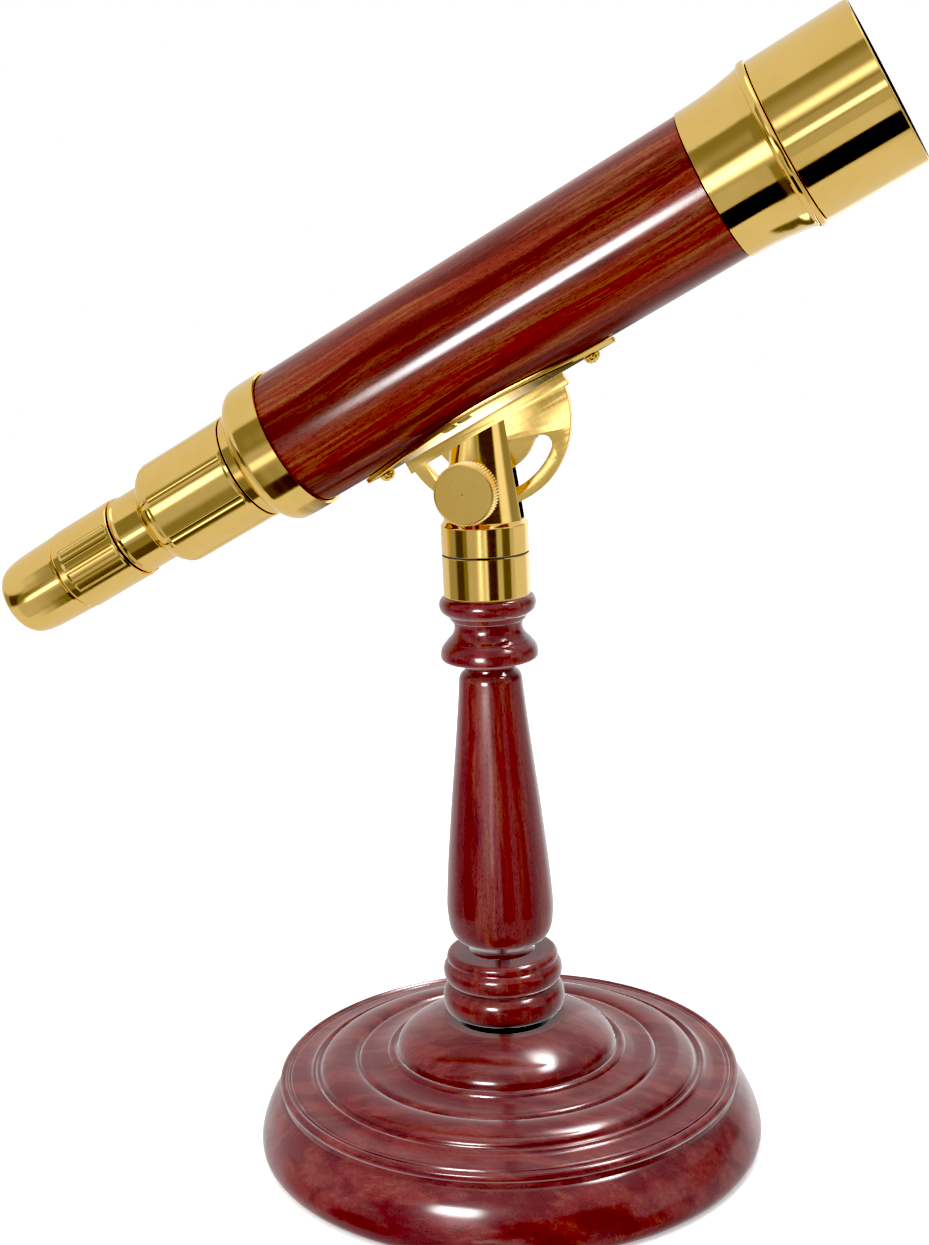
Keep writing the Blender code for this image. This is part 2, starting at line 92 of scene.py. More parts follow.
# The telescope's own frame: z along the tube, x down from it, y across.
TUBE = Matrix.Translation((0, 0, AXIS_Z * MM)) @ Matrix.Rotation(pi / 2 - ELEVATION, 4, "Y")


# ---- outlines ----
def spline(points, step=0.7):
    """Points along a smooth curve through the given ones."""
    out = []
    last = len(points) - 1
    for i in range(last):
        p0, p1 = points[max(i - 1, 0)], points[i]
        p2, p3 = points[i + 1], points[min(i + 2, last)]
        count = max(2, int(hypot(p2[0] - p1[0], p2[1] - p1[1]) / step))
        for k in range(count):
            t = k / count
            weights = (-0.5 * t + t * t - 0.5 * t ** 3, 1 - 2.5 * t * t + 1.5 * t ** 3,
                       0.5 * t + 2 * t * t - 1.5 * t ** 3, -0.5 * t * t + 0.5 * t ** 3)
            out.append(tuple(sum(w * p[a] for w, p in zip(weights, (p0, p1, p2, p3))) for a in (0, 1)))
    return out + [tuple(points[-1])]


def soften(outline, radius, closed=True, sharpest=radians(14), count=3):
    """The outline with a small round in place of each corner."""
    out = []
    total = len(outline)
    for i, corner in enumerate(outline):
        if not closed and i in (0, total - 1):
            out.append(corner)
            continue
        before = Vector(outline[i - 1]) - Vector(corner)
        after = Vector(outline[(i + 1) % total]) - Vector(corner)
        if before.length < 1e-6 or after.length < 1e-6:
            out.append(corner)
            continue
        turn = pi - before.angle(after)
        if turn < sharpest:
            out.append(corner)
            continue
        reach = min(radius, 0.45 * before.length, 0.45 * after.length)
        start = Vector(corner) + before.normalized() * reach
        end = Vector(corner) + after.normalized() * reach
        for k in range(count + 1):
            t = k / count
            point = start * (1 - t) ** 2 + Vector(corner) * 2 * t * (1 - t) + end * t * t
            out.append(tuple(point))
    return out


# ---- meshes ----
def finish_mesh(name, bm, crease=32):
    mesh = bpy.data.meshes.new(name)
    bmesh.ops.remove_doubles(bm, verts=bm.verts, dist=1e-7)
    bmesh.ops.dissolve_degenerate(bm, dist=1e-7, edges=bm.edges)
    bmesh.ops.recalc_face_normals(bm, faces=bm.faces)
    bm.to_mesh(mesh)
    bm.free()
    mesh.shade_smooth()
    mesh.set_sharp_from_angle(angle=radians(crease))
    obj = bpy.data.objects.new(name, mesh)
    bpy.context.scene.collection.objects.link(obj)
    return obj


def support(outline, closed):
    """Extra points just inside the ends of long lines, so that their shading stays flat."""
    near, longest = 0.12, 1.2
    points = []
    for i, here in enumerate(outline):
        points.append(here)
        if i == len(outline) - 1 and not closed:
            break
        there = outline[(i + 1) % len(outline)]
        length = sqrt((there[0] - here[0]) ** 2 + (there[1] - here[1]) ** 2)
        if length > longest:
            for share in (near / length, 1 - near / length):
                points.append(tuple(a + (b - a) * share for a, b in zip(here, there)))
    return points


def revolve(name, outline, steps, shape=None, closed=True, crease=32):
    """Turn an outline about z. shape(angle, z, r) may give another radius for a point."""
    outline = support(outline, closed)
    bm = bmesh.new()
    rings = []
    for z, r in outline:
        if r < 1e-4:
            rings.append([bm.verts.new((0, 0, z * MM))] * steps)
            continue
        row = []
        for k in range(steps):
            angle = 2 * pi * k / steps
            radius = shape(angle, z, r) if shape else r
            row.append(bm.verts.new((radius * cos(angle) * MM, radius * sin(angle) * MM, z * MM)))
        rings.append(row)
    pairs = list(zip(rings, rings[1:] + rings[:1])) if closed else list(zip(rings, rings[1:]))
    for low, high in pairs:
        for k in range(steps):
            corners = []
            for vert in (low[k], low[(k + 1) % steps], high[(k + 1) % steps], high[k]):
                if vert not in corners:
                    corners.append(vert)
            if len(corners) > 2:
                bm.faces.new(corners)
    return finish_mesh(name, bm, crease)


def dress(obj, body, material, matrix=None, replaces=()):
    """Place a piece, and say what it rides on and stands for."""
    if matrix is not None:
        obj.matrix_world = matrix
    obj.data.materials.clear()
    obj.data.materials.append(material)
    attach(obj, body)
    if replaces:
        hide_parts(*replaces)
    return obj


def box_mesh(name, size, centre):
    bm = bmesh.new()
    bmesh.ops.create_cube(bm, size=1.0)
    bmesh.ops.scale(bm, verts=bm.verts, vec=[v * MM for v in size])
    bmesh.ops.translate(bm, verts=bm.verts, vec=[v * MM for v in centre])
    return finish_mesh(name, bm)


def rod_mesh(name, radius, low, high, steps=64):
    return revolve(name, [(low, 0), (low, radius), (high, radius), (high, 0)], steps, closed=False)


def carve(obj, cutters):
    """Cut the cutters out of the piece for good."""
    for cutter in cutters:
        mod = obj.modifiers.new("cut", "BOOLEAN")
        mod.operation = "DIFFERENCE"
        mod.solver = "EXACT"
        mod.object = cutter
    bpy.context.view_layer.update()
    graph = bpy.context.evaluated_depsgraph_get()
    mesh = bpy.data.meshes.new_from_object(obj.evaluated_get(graph))
    obj.modifiers.clear()
    old = obj.data
    obj.data = mesh
    bpy.data.meshes.remove(old)
    mesh.name = obj.name
    for cutter in cutters:
        bpy.data.objects.remove(cutter, do_unlink=True)
    return obj


def chamfer(obj, width, segments=2, angle=38):
    mod = obj.modifiers.new("edge", "BEVEL")
    mod.width = width * MM
    mod.segments = segments
    mod.limit_method = "ANGLE"
    mod.angle_limit = radians(angle)
    mod.use_clamp_overlap = True
    return mod


# ---- materials ----
class Nodes:
    """A short way to write node trees."""

    def __init__(self, tree):
        self.tree = tree

    def add(self, kind, values=None, **fields):
        node = self.tree.nodes.new("ShaderNode" + kind)
        for key, value in fields.items():
            setattr(node, key, value)
        for key, value in (values or {}).items():
            self.put(node.inputs[key], value)
        return node

    def put(self, socket, value):
        if isinstance(value, bpy.types.NodeSocket):
            self.tree.links.new(value, socket)
        else:
            socket.default_value = value

    def math(self, operation, a, b=0.0, c=0.0):
        node = self.add("Math", operation=operation)
        for socket, value in zip(node.inputs, (a, b, c)):
            self.put(socket, value)
        return node.outputs[0]

    def span(self, value, low, high, to_low=0.0, to_high=1.0, smooth=True):
        """The value's place between low and high, as a number from to_low to to_high."""
        node = self.add("MapRange", interpolation_type="SMOOTHSTEP" if smooth else "LINEAR")
        for key, item in zip(("Value", "From Min", "From Max", "To Min", "To Max"),
                             (value, low, high, to_low, to_high)):
            self.put(node.inputs[key], item)
        return node.outputs[0]

    def mix(self, factor, a, b):
        node = self.add("Mix", data_type="RGBA")
        self.put(node.inputs["Factor"], factor)
        self.put(node.inputs[6], a)
        self.put(node.inputs[7], b)
        return node.outputs[2]

    def noise(self, vector, scale, detail=4.0, rough=0.5, distortion=0.0):
        node = self.add("TexNoise", {"Vector": vector, "Scale": scale, "Detail": detail,
                                     "Roughness": rough, "Distortion": distortion})
        return node.outputs[0]

    def stretch(self, vector, x, y, z):
        node = self.add("Mapping", {"Vector": vector, "Scale": (x, y, z)})
        return node.outputs[0]

    def bump(self, height, distance, strength=1.0, normal=None):
        values = {"Height": height, "Distance": distance, "Strength": strength}
        if normal is not None:
            values["Normal"] = normal
        return self.add("Bump", values).outputs[0]


def new_material(name):
    mat = bpy.data.materials.new(name)
    mat.use_nodes = True
    shader = mat.node_tree.nodes["Principled BSDF"]
    net = Nodes(mat.node_tree)
    place = net.add("TexCoord").outputs["Object"]
    return mat, shader, net, place


def bore_mask(net, place, radius):
    """1 inside the given radius round z, 0 outside it."""
    x, y, _ = net.add("SeparateXYZ", {0: place}).outputs
    across = net.math("SQRT", net.math("ADD", net.math("MULTIPLY", x, x), net.math("MULTIPLY", y, y)))
    return net.span(across, (radius - 0.05) * MM, (radius + 0.05) * MM, 1.0, 0.0)


def painted_gap_shade_mask(net, place):
    """Painted shade: 1 in the gap between the collar and the yoke and in the yoke's slit, where the brass is
    painted black for the shade that falls there, 0 elsewhere.
    """
    _, y, z = net.add("SeparateXYZ", {0: place}).outputs
    gap = net.span(net.math("ABSOLUTE", net.math("SUBTRACT", z, SEAM_Z * MM)), 0.30 * MM, 0.42 * MM, 1.0, 0.0)
    edge = SLIT_W / 2
    walls = net.span(net.math("ABSOLUTE", y), (edge + 0.05) * MM, (edge + 0.15) * MM, 1.0, 0.0)
    above = net.span(z, (SLIT_FLOOR - 0.4) * MM, SLIT_FLOOR * MM, 0.0, 1.0)
    return net.math("MAXIMUM", gap, net.math("MULTIPLY", walls, above))


def brass(name, lines=1.0, rough=0.07, tone=(0.90, 0.63, 0.24), stain=0.3, ripple=0.05, streak=0.0,
          black_paint_and_shade_mask=None):
    """Polished, lacquered brass with faint turning lines, a little tarnish and small pits.

    ripple is how uneven the polish is, and streak how far it was rubbed in one direction. The last argument
    gives
    the mask of what is coloured black: real black paint, and painted shade where the brass lies in deep gaps.
    """
    mat, shader, net, place = new_material(name)
    cloud = net.noise(place, 60.0, 3.0, 0.55)
    specks = net.noise(place, 2600.0, 2.0, 0.6)
    dark = tuple(c * k for c, k in zip(tone, (0.90, 0.86, 0.76))) + (1,)
    tint = net.mix(net.span(cloud, 0.42, 0.72, 0.0, stain), tone + (1,), dark)
    pits = net.span(specks, 0.68, 0.78, 0.0, 0.35)
    tint = net.mix(pits, tint, (0.45, 0.28, 0.09, 1))
    rub = net.noise(net.stretch(place, 40, 40, 900), 1.0, 3.0, 0.6)
    level = net.math("ADD", net.span(rub, 0.3, 0.7, rough * 0.8, rough * 1.25),
                     net.span(cloud, 0.45, 0.75, 0.0, 0.04))
    shader.inputs["Metallic"].default_value = 1.0
    # Masked parts are coloured black: real black paint inside the hood, and painted shade in the stand's gap
    # and slit.
    if black_paint_and_shade_mask:
        black_paint_and_shade = black_paint_and_shade_mask(net, place)
        tint = net.mix(black_paint_and_shade, tint, (0.02, 0.019, 0.017, 1))
        net.put(shader.inputs["Metallic"], net.math("SUBTRACT", 1.0, black_paint_and_shade))
        level = net.math("ADD", level, net.math("MULTIPLY", black_paint_and_shade, 0.45))
    net.put(shader.inputs["Base Color"], tint)
    net.put(shader.inputs["Roughness"], level)
    turning = net.noise(net.stretch(place, 25, 25, 5200), 1.0, 4.0, 0.65)
    normal = net.bump(turning, 0.000012, 0.35 * lines)
    normal = net.bump(net.noise(place, 45.0, 2.0, 0.5), 0.0004, ripple, normal)
    if streak:
        rubbed = net.noise(net.stretch(place, 150, 150, 26), 1.0, 2.0, 0.5, 0.5)
        normal = net.bump(rubbed, 0.0006, streak, normal)
    net.put(shader.inputs["Normal"], normal)
    return mat


def wood(name, base, light, dark, grain=(1.0, 1.0, 0.05), figure=1.0, seed=0.0, coat_rough=0.06,
         coat_weight=1.0, shine=0.4, shadow=0.0):
    """Stained wood under gloss lacquer. grain gives how fine the figure is along each axis.

    Below the height given as shadow the colour is painted almost black: painted shade, as in a deep groove.
    """
    mat, shader, net, place = new_material(name)
    moved = net.add("Mapping", {"Vector": place, "Location": (seed, seed * 0.7, seed * 1.3)}).outputs[0]
    drift = net.add("TexNoise", {"Vector": moved, "Scale": 9.0, "Detail": 2.0})
    offset = net.add("VectorMath", {0: drift.outputs[1], "Scale": 0.010}, operation="SCALE").outputs[0]
    warped = net.add("VectorMath", {0: moved, 1: offset}, operation="ADD").outputs[0]
    gx, gy, gz = grain
    bands = net.noise(net.stretch(warped, gx * 130, gy * 130, gz * 130), 1.0, 2.0, 0.5, 0.6)
    streaks = net.noise(net.stretch(warped, gx * 620, gy * 620, gz * 520), 1.0, 4.0, 0.62, 0.4)
    fibres = net.noise(net.stretch(warped, gx * 2600, gy * 2600, gz * 1500), 1.0, 3.0, 0.6)
    shade = net.mix(net.span(bands, 0.40, 0.62), dark + (1,), base + (1,))
    amount = net.math("MULTIPLY", net.span(streaks, 0.47, 0.66), net.span(bands, 0.35, 0.60, 0.25, 1.0))
    shade = net.mix(net.math("MULTIPLY", amount, figure), shade, light + (1,))
    pores = net.span(fibres, 0.60, 0.72, 0.0, 0.55)
    deep = tuple(c * 0.35 for c in dark) + (1,)
    shade = net.mix(pores, shade, deep)
    across, lengthways = 2300, 600
    upright = across if gz > 0.2 else lengthways
    fleck = net.noise(net.stretch(moved, across, across, upright), 1.0, 2.0, 0.6)
    shade = net.mix(net.span(fleck, 0.50, 0.66, 0.0, 0.45), shade, deep)
    # Painted shade: below that height the colour is painted near black.
    if shadow:
        height = net.add("SeparateXYZ", {0: place}).outputs[2]
        shade = net.mix(net.span(height, shadow, shadow + 0.002, 0.95, 0.0), shade, (0.006, 0.0, 0.0, 1))
    net.put(shader.inputs["Base Color"], shade)
    net.put(shader.inputs["Roughness"], net.span(streaks, 0.3, 0.7, 0.28, 0.40))
    shader.inputs["Specular IOR Level"].default_value = shine
    shader.inputs["Coat Weight"].default_value = coat_weight
    shader.inputs["Coat Roughness"].default_value = coat_rough
    shader.inputs["Coat IOR"].default_value = 1.5
    specks = net.noise(moved, 1900.0, 2.0, 0.6)
    wave = net.noise(moved, 60.0, 2.0, 0.5)
    orange_peel = net.bump(specks, 0.00003, 0.35)
    coat = net.bump(wave, 0.0005, 0.04, orange_peel)
    net.put(shader.inputs["Coat Normal"], coat)
    net.put(shader.inputs["Normal"], net.bump(fibres, 0.00004, 0.5, coat))
    return mat


def plain_metal(name, colour, rough, metallic=1.0):
    mat, shader, net, place = new_material(name)
    cloud = net.noise(place, 300.0, 4.0, 0.6)
    low = tuple(c * 0.8 for c in colour) + (1,)
    net.put(shader.inputs["Base Color"], net.mix(net.span(cloud, 0.35, 0.65), low, colour + (1,)))
    shader.inputs["Metallic"].default_value = metallic
    net.put(shader.inputs["Roughness"], net.span(cloud, 0.3, 0.7, rough * 0.85, rough * 1.15))
    lines = net.noise(net.stretch(place, 60, 60, 4000), 1.0, 3.0, 0.6)
    net.put(shader.inputs["Normal"], net.bump(lines, 0.00002, 0.4))
    return mat


def felt_material(name):
    mat, shader, net, place = new_material(name)
    fuzz = net.noise(place, 1500.0, 5.0, 0.75)
    mottle = net.noise(place, 90.0, 3.0, 0.6)
    tone = net.mix(net.span(mottle, 0.35, 0.65), (0.02, 0.06, 0.03, 1), (0.035, 0.10, 0.055, 1))
    tips = net.span(fuzz, 0.4, 0.7, 0.0, 0.6)
    net.put(shader.inputs["Base Color"], net.mix(tips, tone, (0.06, 0.16, 0.09, 1)))
    shader.inputs["Roughness"].default_value = 0.95
    shader.inputs["Sheen Weight"].default_value = 0.3
    net.put(shader.inputs["Normal"], net.bump(fuzz, 0.0004, 0.8))
    return mat


def glass_material(name):
    mat, shader, net, place = new_material(name)
    dust = net.noise(place, 700.0, 3.0, 0.6)
    net.put(shader.inputs["Base Color"], net.mix(net.span(dust, 0.6, 0.8, 0.0, 0.2),
                                                 (0.90, 0.95, 0.97, 1), (0.80, 0.84, 0.84, 1)))
    shader.inputs["Transmission Weight"].default_value = 1.0
    shader.inputs["IOR"].default_value = 1.52
    net.put(shader.inputs["Roughness"], net.span(dust, 0.5, 0.8, 0.0, 0.04))
    shader.inputs["Coat Weight"].default_value = 0.6
    shader.inputs["Coat Roughness"].default_value = 0.02
    shader.inputs["Coat Tint"].default_value = (0.75, 0.80, 1.0, 1)
    return mat


BRASS = brass("brass_polished", ripple=0.02,
              black_paint_and_shade_mask=lambda net, place: bore_mask(net, place, HOOD_BORE))
BRASS_BELL = brass("brass_bell", ripple=0.02)
BRASS_SOFT = brass("brass_rings", lines=1.2, rough=0.09)
# The stand's brass has painted shade: black in the gap under the yoke and in the yoke's slit.
BRASS_STAND = brass("brass_turned", lines=1.8, rough=0.09, black_paint_and_shade_mask=painted_gap_shade_mask)
BRASS_KNOB = brass("brass_knob", lines=0.0, rough=0.26, ripple=0.0)
BRASS_PLATE = brass("brass_plate", lines=0.5, rough=0.12, stain=0.5, ripple=0.1, streak=0.22)
BRASS_SADDLE = brass("brass_saddle", lines=0.3, rough=0.08, stain=0.5, ripple=0.02)
BRASS_SCREW = brass("brass_screw", lines=0.4, rough=0.12)
TUBE_WOOD = wood("mahogany_tube", (0.175, 0.034, 0.024), (0.215, 0.090, 0.038), (0.095, 0.020, 0.017),
                 grain=(1.0, 1.0, 0.045), figure=0.75, coat_weight=0.65, shine=0.10)
# The pillar's wood has painted shade under its lowest bead, where it stands on the base.
PILLAR_WOOD = wood("mahogany_pillar", (0.180, 0.034, 0.035), (0.225, 0.072, 0.042), (0.130, 0.024, 0.028),
                   grain=(0.55, 0.55, 0.05), figure=0.5, seed=0.31, coat_weight=0.9, shine=0.2,
                   shadow=0.0555)
BASE_WOOD = wood("mahogany_base", (0.180, 0.036, 0.038), (0.210, 0.070, 0.042), (0.120, 0.022, 0.026),
                 grain=(0.25, 0.8, 0.8), figure=0.5, seed=0.77, coat_rough=0.09, coat_weight=0.85,
                 shine=0.2)
BLACK = plain_metal("black_anodised", (0.018, 0.018, 0.020), 0.55, 0.4)
STEEL = plain_metal("turned_steel", (0.56, 0.56, 0.57), 0.30)
FELT = felt_material("wool_felt")
GLASS = glass_material("optical_glass")


# ---- the stand ----
def build_base():
    under = 1.8
    foot = spline([(under, 99.0), (3.2, 99.8), (5.5, 100.1), (8.5, 99.7), (11.5, 98.8), (14.5, 97.6),
                   (17.5, 96.2), (20.0, 94.6), (22.2, 92.7), (23.8, 91.2), (24.3, 90.4)])
    lip = spline([(26.6, 90.3), (27.4, 91.0), (28.4, 91.3), (29.4, 91.1), (30.2, 90.2), (30.3, 89.2)], 0.3)
    flat = [(29.7, 88.5), (29.6, 88.1), (30.1, 87.8), (30.1, 86.9), (29.8, 86.6)]
    tread = spline([(30.0, 86.2), (30.1, 84.5), (30.4, 81.5), (30.9, 79.4), (31.4, 78.6), (32.2, 78.0),
                    (32.4, 77.4)])
    groove = spline([(32.2, 76.9), (31.5, 76.3), (31.2, 75.7), (31.4, 75.1)], 0.3)
    crown = spline([(32.0, 74.6), (33.0, 74.3), (34.0, 73.4), (35.0, 71.5), (35.9, 68.5), (36.3, 65.0),
                    (36.1, 62.0), (35.6, 60.5)])
    fillet = spline([(34.9, 59.8), (34.8, 59.2), (35.4, 58.8), (36.1, 58.2), (36.4, 57.0), (36.5, 54.0),
                     (37.0, 50.8), (37.7, 48.4)])
    bead = spline([(38.0, 47.5), (38.8, 47.1), (39.4, 46.3), (39.5, 45.3), (39.1, 44.4), (38.6, 43.8)], 0.3)
    foot_of_dome, rise, reach, last = 39.2, 14.6, 43.4, 26
    slopes = [radians(88 - 54.5 * i / last) for i in range(last + 1)]
    dome = [(foot_of_dome + rise * cos(a), reach * sin(a)) for a in slopes]
    bore = [(51.2, 11.5), (38.0, 11.5), (38.0, 3.6), (13.0, 3.6), (13.0, 9.5), (under, 9.5)]
    outline = foot + lip + flat + tread + groove + crown + fillet + bead + dome + bore
    return revolve("base_wood", outline, 192, crease=28)


def build_pillar():
    foot = [(51.3, 19.6), (54.2, 19.6), (54.5, 20.2)]
    bead3 = spline([(54.6, 21.8), (55.4, 22.9), (57.2, 23.7), (59.6, 24.0), (62.0, 23.8), (64.0, 23.0),
                    (65.3, 21.8)], 0.4)
    neck1 = spline([(65.7, 20.6), (66.4, 20.1), (67.0, 20.7)], 0.3)
    bead2 = spline([(67.3, 21.9), (68.6, 22.9), (70.8, 23.4), (73.0, 23.2), (74.6, 22.4),
                    (75.3, 21.7)], 0.4)
    cap2 = spline([(75.6, 21.6), (77.0, 21.9), (78.2, 21.5), (79.0, 20.6), (79.2, 19.6)], 0.4)
    cone = spline([(79.4, 12.9), (80.5, 12.8), (82.5, 14.0), (84.0, 15.9), (84.8, 16.9)], 0.5)
    vase = spline([(85.2, 17.6), (86.4, 18.7), (88.6, 19.7), (91.0, 20.3), (94.0, 20.6), (98.0, 20.85),
                   (104.0, 20.55), (116.0, 19.65), (129.0, 18.35), (142.0, 17.0), (155.0, 15.5),
                   (171.0, 13.75), (183.6, 12.5), (189.6, 12.0)], 1.5)
    collar = spline([(190.3, 11.8), (191.0, 11.5), (191.8, 10.9), (192.4, 10.2)], 0.3)
    neck2 = spline([(193.0, 9.6), (194.0, 9.5), (194.8, 10.1), (195.6, 10.7), (196.2, 10.6)], 0.3)
    ring = spline([(196.5, 16.4), (197.0, 17.6), (198.0, 18.4), (199.6, 18.45), (201.4, 18.1),
                   (203.0, 17.1), (204.2, 16.0)], 0.4)
    cove = spline([(204.6, 15.8), (206.2, 14.2), (208.2, 13.1), (210.4, 12.9), (211.8, 13.3)], 0.4)
    steps = spline([(212.2, 14.0), (213.2, 14.6), (214.2, 15.2)], 0.4)
    bead1 = spline([(214.7, 16.2), (216.0, 17.6), (217.8, 18.25), (219.4, 18.15), (220.8, 17.4),
                    (221.5, 16.2)], 0.4)
    lower = foot + bead3 + neck1 + bead2 + cap2 + cone
    upper = vase + collar + neck2 + ring + cove + steps + bead1
    tenon = [(224.0, 0.0), (224.0, 9.0), (229.0, 9.0), (229.0, 12.6), (221.5, 12.6)]
    spigot = [(51.3, 11.2), (38.6, 11.2), (38.6, 0.0)]
    outline = tenon + (lower + upper)[::-1] + spigot
    return revolve("pillar_wood", outline, 128, closed=False, crease=28)


def build_stand():
    dress(build_base(), "stand", BASE_WOOD, replaces=["base"])
    pad = soften([(0.0, 0.0), (0.0, 95.0), (1.5, 95.0), (1.5, 0.0)], 0.5, False)
    felt = revolve("felt_pad", pad, 128, closed=False)
    dress(felt, "stand", FELT, replaces=["base_felt"])
    dress(build_pillar(), "stand", PILLAR_WOOD, replaces=["pillar"])
    collar = soften([(237.3, 16.3), (221.8, 16.3), (221.8, 13.0), (230.0, 13.0), (230.0, 4.4),
                     (237.3, 4.4)], 0.3)
    dress(revolve("collar_brass", collar, 128), "stand", BRASS_STAND, replaces=["socket_collar"])


# ---- the turning head ----
def pivot_xz():
    x = PIVOT_S * cos(ELEVATION) + PIVOT_T * sin(ELEVATION)
    z = AXIS_Z + PIVOT_S * sin(ELEVATION) - PIVOT_T * cos(ELEVATION)
    return x, z


def clamp_z():
    x, z = pivot_xz()
    return z - sqrt(SLOT_R ** 2 - x ** 2)


def cross(x, z):
    """Frame of a cross axis in the head: local z runs along +Y."""
    return Matrix.Translation((x * MM, 0, z * MM)) @ Matrix.Rotation(-pi / 2, 4, "X")


def build_head():
    outline = soften([(292.0, 0.0), (292.0, 9.2), (249.9, 15.1), (249.0, 15.8), (248.5, 16.3),
                      (237.8, 16.3), (237.8, 4.3), (247.4, 4.3), (247.4, 0.0)], 0.3, False)
    yoke = revolve("yoke_brass", outline, 128, closed=False)
    reach = 30                 # of the cutters, past the yoke on each side
    slit_z = SLIT_FLOOR + SLIT_W / 2
    slit = box_mesh("slit", (2 * reach, SLIT_W, 2 * reach), (0, 0, SLIT_FLOOR + SLIT_W / 2 + reach))
    floor = rod_mesh("slit_floor", SLIT_W / 2, -reach, reach, 32)
    floor.matrix_world = Matrix.Translation((0, 0, slit_z * MM)) @ Matrix.Rotation(pi / 2, 4, "Y")
    slant = box_mesh("slant", (80, 60, 40), (0, 0, 20))
    slant.matrix_world = Matrix.Translation((0, 0, SLANT_Z * MM)) @ Matrix.Rotation(-SLANT, 4, "Y")
    hole = rod_mesh("stud_hole", STUD_R + 0.3, -reach, reach)
    face = rod_mesh("spot_face", 6.4, -reach, -12.6)
    pin_hole = rod_mesh("pin_hole", STUD_R + 0.3, -7.6, reach)
    px, pz = pivot_xz()
    px, pz = px + SLOT_R * sin(PIN_ANGLE), pz - SLOT_R * cos(PIN_ANGLE)
    for cutter, x, z in ((hole, 0, clamp_z()), (face, 0, clamp_z()), (pin_hole, px, pz)):
        cutter.matrix_world = cross(x, z)
    carve(yoke, [slit, floor, slant, hole, face, pin_hole])
    yoke.data.set_sharp_from_angle(angle=radians(32))
    dress(yoke, "yoke", BRASS_STAND, replaces=["yoke"])
    chamfer(yoke, 0.22)
    pin_line = soften([(-7.2, 0.0), (-7.2, STUD_R), (10.0, STUD_R), (10.0, 0.0)], 0.4, False)
    pin = revolve("pin_steel", pin_line, 48, closed=False)
    dress(pin, "yoke", STEEL, cross(px, pz), ["guide_pin"])

    def knurl(angle, z, r):
        tooth = abs((angle * KNURLS / (2 * pi)) % 1.0 - 0.5) * 2
        return r - (KNURL_DEPTH * tooth if r > KNURL_ROOT else 0.0)

    back = [(-14.2, 3.3), (-14.2, 5.4), (-18.4, 5.4), (-18.4, 10.4), (-18.7, 10.9), (-19.2, 11.1)]
    teeth = [(-19.3, 11.4), (-26.3, 11.4)]
    front = [(-26.5, 11.05), (-26.85, 10.7), (-27.0, 10.3), (-27.0, 0.7), (-26.8, 0.4), (-26.7, 0.0)]
    thread = [(-23.0, 0.0), (-23.0, 3.3)]
    knob_outline = back + teeth + front + thread
    knob = revolve("knob_brass", knob_outline, KNURLS * 6, knurl, closed=True)
    dress(knob, "clamp", BRASS_KNOB, cross(0, clamp_z()), ["clamp_knob"])
    stud_line = soften([(-22.7, 0.0), (-22.7, STUD_R), (12.4, STUD_R), (12.4, 0.0)], 0.4, False)
    stud = revolve("stud_steel", stud_line, 48, closed=False)
    dress(stud, "clamp", STEEL, cross(0, clamp_z()), ["clamp_stud"])
    washer_line = soften([(-13.9, 3.3), (-13.9, 6.0), (-12.9, 6.0), (-12.9, 3.3)], 0.2)
    washer = revolve("washer_brass", washer_line, 64)
    dress(washer, "clamp", BRASS_SCREW, cross(0, clamp_z()), ["clamp_washer"])


# ---- saddle and sector ----
def prism(name, outline, thickness, holes=()):
    """A flat plate from closed (x, z) outlines, its thickness along y."""
    curve = bpy.data.curves.new(name, "CURVE")
    curve.dimensions = "2D"
    curve.fill_mode = "BOTH"
    bevel = 0.25
    curve.extrude = (thickness / 2 - bevel) * MM
    curve.bevel_depth = bevel * MM
    curve.bevel_resolution = 2
    curve.offset = -bevel * MM
    for points in [outline, *holes]:
        strand = curve.splines.new("POLY")
        strand.points.add(len(points) - 1)
        for point, (x, z) in zip(strand.points, points):
            point.co = (x * MM, z * MM, 0, 1)
        strand.use_cyclic_u = True
    temp = bpy.data.objects.new(name, curve)
    bpy.context.scene.collection.objects.link(temp)
    bpy.context.view_layer.update()
    graph = bpy.context.evaluated_depsgraph_get()
    mesh = bpy.data.meshes.new_from_object(temp.evaluated_get(graph))
    bpy.data.objects.remove(temp, do_unlink=True)
    bm = bmesh.new()
    bm.from_mesh(mesh)
    bpy.data.meshes.remove(mesh)
    bmesh.ops.transform(bm, matrix=Matrix.Rotation(pi / 2, 4, "X"), verts=bm.verts)
    return finish_mesh(name, bm, 30)


def build_sector():
    low, high, half = 28.95, PIVOT_T + 4.0, 34.1
    edge = asin((high - PIVOT_T) / SECTOR_R)
    outline = [(low, PIVOT_S - half), (low, PIVOT_S + half), (high, PIVOT_S + half)]
    for i in range(65):
        a = pi / 2 - edge - (pi - 2 * edge) * i / 64
        outline.append((PIVOT_T + SECTOR_R * cos(a), PIVOT_S + SECTOR_R * sin(a)))
    outline.append((high, PIVOT_S - half))
    slot = []
    for radius, sign in ((SLOT_R + SLOT_W / 2, 1), (SLOT_R - SLOT_W / 2, -1)):
        rear = -acos(3.5 / radius)
        span = [rear + (SLOT_FRONT - rear) * i / 36 for i in range(37)]
        slot += [(PIVOT_T + radius * cos(a), PIVOT_S + radius * sin(a)) for a in span[::sign]]
        if sign == 1:
            end = (PIVOT_T + SLOT_R * cos(SLOT_FRONT), PIVOT_S + SLOT_R * sin(SLOT_FRONT))
            for i in range(1, 12):
                a = SLOT_FRONT + pi * i / 12
                slot.append((end[0] + SLOT_W / 2 * cos(a), end[1] + SLOT_W / 2 * sin(a)))
    plate = prism("sector_brass", outline, SECTOR_T, [slot])
    dress(plate, "telescope", BRASS_PLATE, TUBE, ["sector_plate"])


